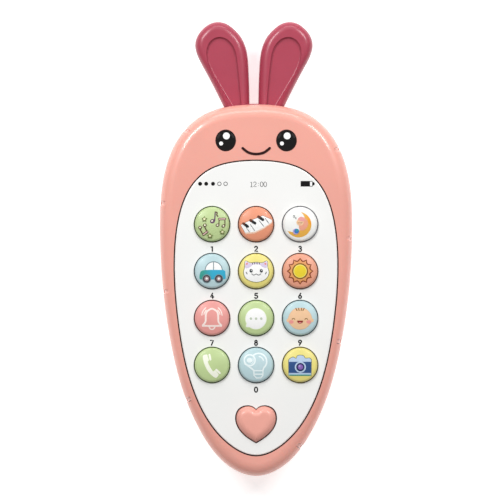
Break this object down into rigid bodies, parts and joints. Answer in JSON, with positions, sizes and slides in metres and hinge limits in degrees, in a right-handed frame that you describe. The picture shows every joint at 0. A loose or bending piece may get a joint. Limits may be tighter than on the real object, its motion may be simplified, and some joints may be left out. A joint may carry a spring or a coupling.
{
  "type": "toy cell phone",
  "caption": "Carrot-shaped toddler's toy phone with silicone rabbit ears, round picture keys, a heart key, a battery door and a speaker grille.",
  "frame": {"origin": "on the plane that the phone lies on, under the middle of its length and width", "axes": "+Z out of the key face, +Y along the length towards the ears, +X to the right seen from the face"},
  "size_m": [0.0762, 0.18, 0.0269],
  "materials": {
    "case_pink": "gloss",
    "panel_white": "gloss",
    "ear_silicone": "satin",
    "key_green": "gloss",
    "key_orange": "gloss",
    "key_white": "gloss",
    "key_blue": "gloss",
    "key_yellow": "gloss",
    "key_coral": "gloss",
    "key_rose": "gloss",
    "mat_silicone": "matte",
    "board_laminate": "satin",
    "chip_resin": "satin",
    "small_parts": "matte",
    "lamp_lens": "gloss",
    "steel": "satin",
    "magnet": "satin",
    "cone_film": "matte",
    "wire_jacket": "satin",
    "contact_steel": "gloss",
    "cell_case": "satin",
    "switch_black": "satin",
    "knob_white": "satin"
  },
  "bodies": {
    "case": {"front_shell": "case_pink", "rear_shell": "case_pink", "face_panel": "panel_white", "ear_teether": "ear_silicone", "keypad_mat": "mat_silicone", "main_board": "board_laminate", "sound_chip": "chip_resin", "board_parts": "small_parts", "indicator_leds": "lamp_lens", "board_screws": "steel", "speaker_frame": "steel", "speaker_magnet": "magnet", "speaker_cone": "cone_film", "speaker_leads": "wire_jacket", "battery_leads": "wire_jacket", "switch_leads": "wire_jacket", "plate_contacts": "contact_steel", "spring_contacts": "contact_steel", "case_screws": "steel", "switch_housing": "switch_black", "battery_1": "cell_case", "battery_2": "cell_case", "battery_3": "cell_case"},
    "button_1": {"button_1": "key_green"},
    "button_2": {"button_2": "key_orange"},
    "button_3": {"button_3": "key_white"},
    "button_4": {"button_4": "key_blue"},
    "button_5": {"button_5": "key_yellow"},
    "button_6": {"button_6": "key_coral"},
    "button_7": {"button_7": "key_rose"},
    "button_8": {"button_8": "key_green"},
    "button_9": {"button_9": "key_blue"},
    "button_0": {"button_0": "key_blue"},
    "button_call": {"button_call": "key_green"},
    "button_camera": {"button_camera": "key_yellow"},
    "heart_button": {"heart_button": "case_pink"},
    "switch_knob": {"switch_knob": "knob_white"},
    "battery_door": {"battery_door": "case_pink"},
    "door_screw": {"door_screw": "steel"}
  },
  "joints": [
    {"name": "button_1_press", "type": "slide", "parent": "case", "child": "button_1", "axis": [0, 0, -1], "range_m": [0, 0.0012], "stiffness_N_per_m": 900, "springref_m": -0.0003, "deforming": ["keypad_mat"]},
    {"name": "button_2_press", "type": "slide", "parent": "case", "child": "button_2", "axis": [0, 0, -1], "range_m": [0, 0.0012], "stiffness_N_per_m": 900, "springref_m": -0.0003, "deforming": ["keypad_mat"]},
    {"name": "button_3_press", "type": "slide", "parent": "case", "child": "button_3", "axis": [0, 0, -1], "range_m": [0, 0.0012], "stiffness_N_per_m": 900, "springref_m": -0.0003, "deforming": ["keypad_mat"]},
    {"name": "button_4_press", "type": "slide", "parent": "case", "child": "button_4", "axis": [0, 0, -1], "range_m": [0, 0.0012], "stiffness_N_per_m": 900, "springref_m": -0.0003, "deforming": ["keypad_mat"]},
    {"name": "button_5_press", "type": "slide", "parent": "case", "child": "button_5", "axis": [0, 0, -1], "range_m": [0, 0.0012], "stiffness_N_per_m": 900, "springref_m": -0.0003, "deforming": ["keypad_mat"]},
    {"name": "button_6_press", "type": "slide", "parent": "case", "child": "button_6", "axis": [0, 0, -1], "range_m": [0, 0.0012], "stiffness_N_per_m": 900, "springref_m": -0.0003, "deforming": ["keypad_mat"]},
    {"name": "button_7_press", "type": "slide", "parent": "case", "child": "button_7", "axis": [0, 0, -1], "range_m": [0, 0.0012], "stiffness_N_per_m": 900, "springref_m": -0.0003, "deforming": ["keypad_mat"]},
    {"name": "button_8_press", "type": "slide", "parent": "case", "child": "button_8", "axis": [0, 0, -1], "range_m": [0, 0.0012], "stiffness_N_per_m": 900, "springref_m": -0.0003, "deforming": ["keypad_mat"]},
    {"name": "button_9_press", "type": "slide", "parent": "case", "child": "button_9", "axis": [0, 0, -1], "range_m": [0, 0.0012], "stiffness_N_per_m": 900, "springref_m": -0.0003, "deforming": ["keypad_mat"]},
    {"name": "button_0_press", "type": "slide", "parent": "case", "child": "button_0", "axis": [0, 0, -1], "range_m": [0, 0.0012], "stiffness_N_per_m": 900, "springref_m": -0.0003, "deforming": ["keypad_mat"]},
    {"name": "button_call_press", "type": "slide", "parent": "case", "child": "button_call", "axis": [0, 0, -1], "range_m": [0, 0.0012], "stiffness_N_per_m": 900, "springref_m": -0.0003, "deforming": ["keypad_mat"]},
    {"name": "button_camera_press", "type": "slide", "parent": "case", "child": "button_camera", "axis": [0, 0, -1], "range_m": [0, 0.0012], "stiffness_N_per_m": 900, "springref_m": -0.0003, "deforming": ["keypad_mat"]},
    {"name": "heart_button_press", "type": "slide", "parent": "case", "child": "heart_button", "axis": [0, 0, -1], "range_m": [0, 0.0012], "stiffness_N_per_m": 900, "springref_m": -0.0003, "deforming": ["keypad_mat"]},
    {"name": "power_slide", "type": "slide", "parent": "case", "child": "switch_knob", "axis": [1, 0, 0], "range_m": [0, 0.004]},
    {"name": "door_tilt", "type": "hinge", "parent": "case", "child": "battery_door", "pos_m": [0, -0.01845, 0.0019], "axis": [-1, 0, 0], "range_deg": [0, 25]},
    {"name": "door_screw_turn", "type": "hinge", "parent": "battery_door", "child": "door_screw", "pos_m": [0, 0.0406, 0.002], "axis": [0, 0, 1], "continuous": true}
  ]
}
